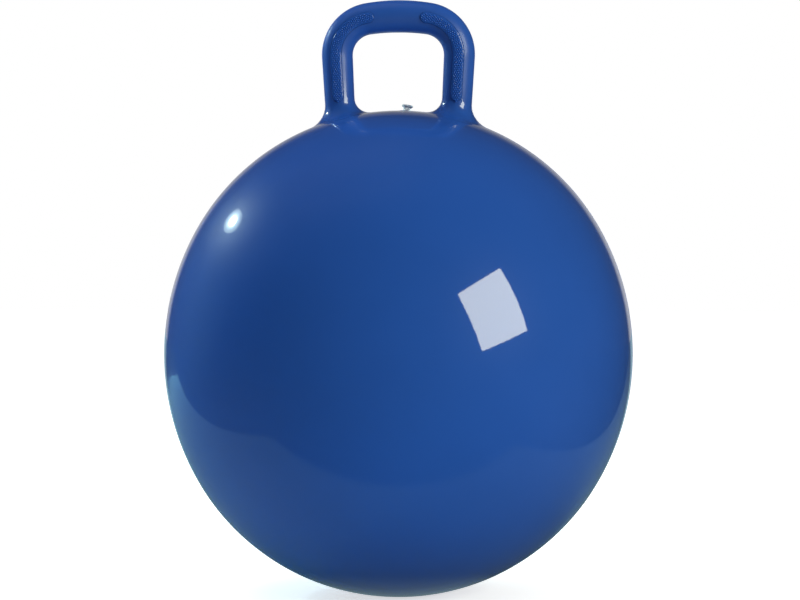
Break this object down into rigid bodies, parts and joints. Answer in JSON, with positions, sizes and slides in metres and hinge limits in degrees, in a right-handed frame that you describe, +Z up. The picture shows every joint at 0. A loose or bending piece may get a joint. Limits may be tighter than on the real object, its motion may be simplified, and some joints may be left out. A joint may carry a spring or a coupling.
{
  "type": "hopper ball",
  "caption": "Inflated bouncing ball of soft glossy vinyl with a moulded loop handle on its crown, raised grip pads and a push-in valve plug.",
  "frame": {"origin": "middle of the flat patch that the ball stands on", "axes": "+Z up through the handle, +X along the handle's bar to the right, -Y to the front; the valve is behind the handle on +Y"},
  "size_m": [0.4498, 0.45, 0.5705],
  "materials": {
    "vinyl_skin": "glossy rotationally moulded soft PVC, mid blue",
    "vinyl_bush": "soft PVC bush in the colour of the skin",
    "plug_plastic": "milky white soft polyethylene"
  },
  "bodies": {
    "ball": {"ball_skin": "vinyl_skin", "valve_seat": "vinyl_bush"},
    "plug": {"valve_plug": "plug_plastic"}
  },
  "joints": [
    {"name": "plug_pull", "type": "slide", "parent": "ball", "child": "plug", "axis": [0.1592, 0.1557, 0.9749], "range_m": [-0.0042, 0.025]}
  ]
}
